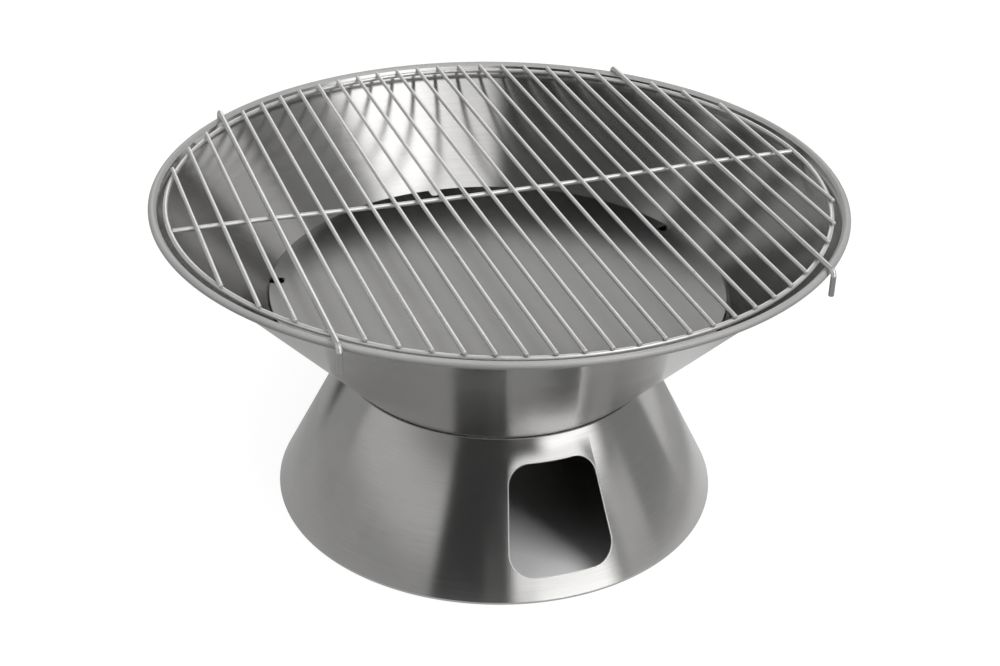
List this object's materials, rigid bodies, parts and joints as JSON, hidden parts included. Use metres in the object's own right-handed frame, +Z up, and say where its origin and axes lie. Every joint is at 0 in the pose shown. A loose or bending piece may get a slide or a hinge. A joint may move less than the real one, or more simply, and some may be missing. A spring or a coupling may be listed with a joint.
{
  "type": "fire pit",
  "caption": "Conical steel fire bowl with a rolled rim on a conical base with a draught opening, a notched fire plate inside and a lift-off wire grate hooked over the rim.",
  "frame": {"origin": "on the floor under the middle of the base's foot, which is also the middle of the rim", "axes": "+Z up along the axis of the base and the bowl; -Y is the side with the draught opening; the bars of the grate run along Y"},
  "size_m": [0.58, 0.58, 0.2931],
  "materials": {
    "base_steel": "brushed round the cone",
    "bowl_steel": "brushed round the cone",
    "plate_steel": "satin",
    "wire_steel": "bright drawn wire",
    "hook_steel": "bright drawn wire"
  },
  "bodies": {
    "base": {"base_skirt": "base_steel"},
    "bowl": {"fire_bowl": "bowl_steel"},
    "plate": {"fire_plate": "plate_steel"},
    "grate": {"grate_ring": "wire_steel", "grate_cross_bar": "wire_steel", "grate_bar_01": "wire_steel", "grate_bar_02": "wire_steel", "grate_bar_03": "wire_steel", "grate_bar_05": "wire_steel", "grate_bar_06": "wire_steel", "grate_bar_07": "wire_steel", "grate_bar_08": "wire_steel", "grate_bar_09": "wire_steel", "grate_bar_10": "wire_steel", "grate_bar_11": "wire_steel", "grate_bar_12": "wire_steel", "grate_bar_13": "wire_steel", "grate_bar_14": "wire_steel", "grate_bar_15": "wire_steel", "grate_bar_16": "wire_steel", "grate_bar_17": "wire_steel", "grate_bar_18": "wire_steel", "grate_bar_19": "wire_steel", "grate_bar_20": "wire_steel", "grate_bar_21": "wire_steel", "grate_bar_22": "wire_steel", "grate_bar_24": "wire_steel", "grate_bar_25": "wire_steel", "grate_bar_26": "wire_steel", "grate_hooked_bar_left": "hook_steel", "grate_hooked_bar_right": "hook_steel"}
  },
  "joints": [
    {"name": "bowl_lift", "type": "slide", "parent": "base", "child": "bowl", "axis": [0, 0, 1], "range_m": [0, 0.06]},
    {"name": "plate_lift", "type": "slide", "parent": "bowl", "child": "plate", "axis": [0, 0, 1], "range_m": [0, 0.085]},
    {"name": "grate_lift", "type": "slide", "parent": "bowl", "child": "grate", "axis": [0, 0, 1], "range_m": [0, 0.12]}
  ]
}
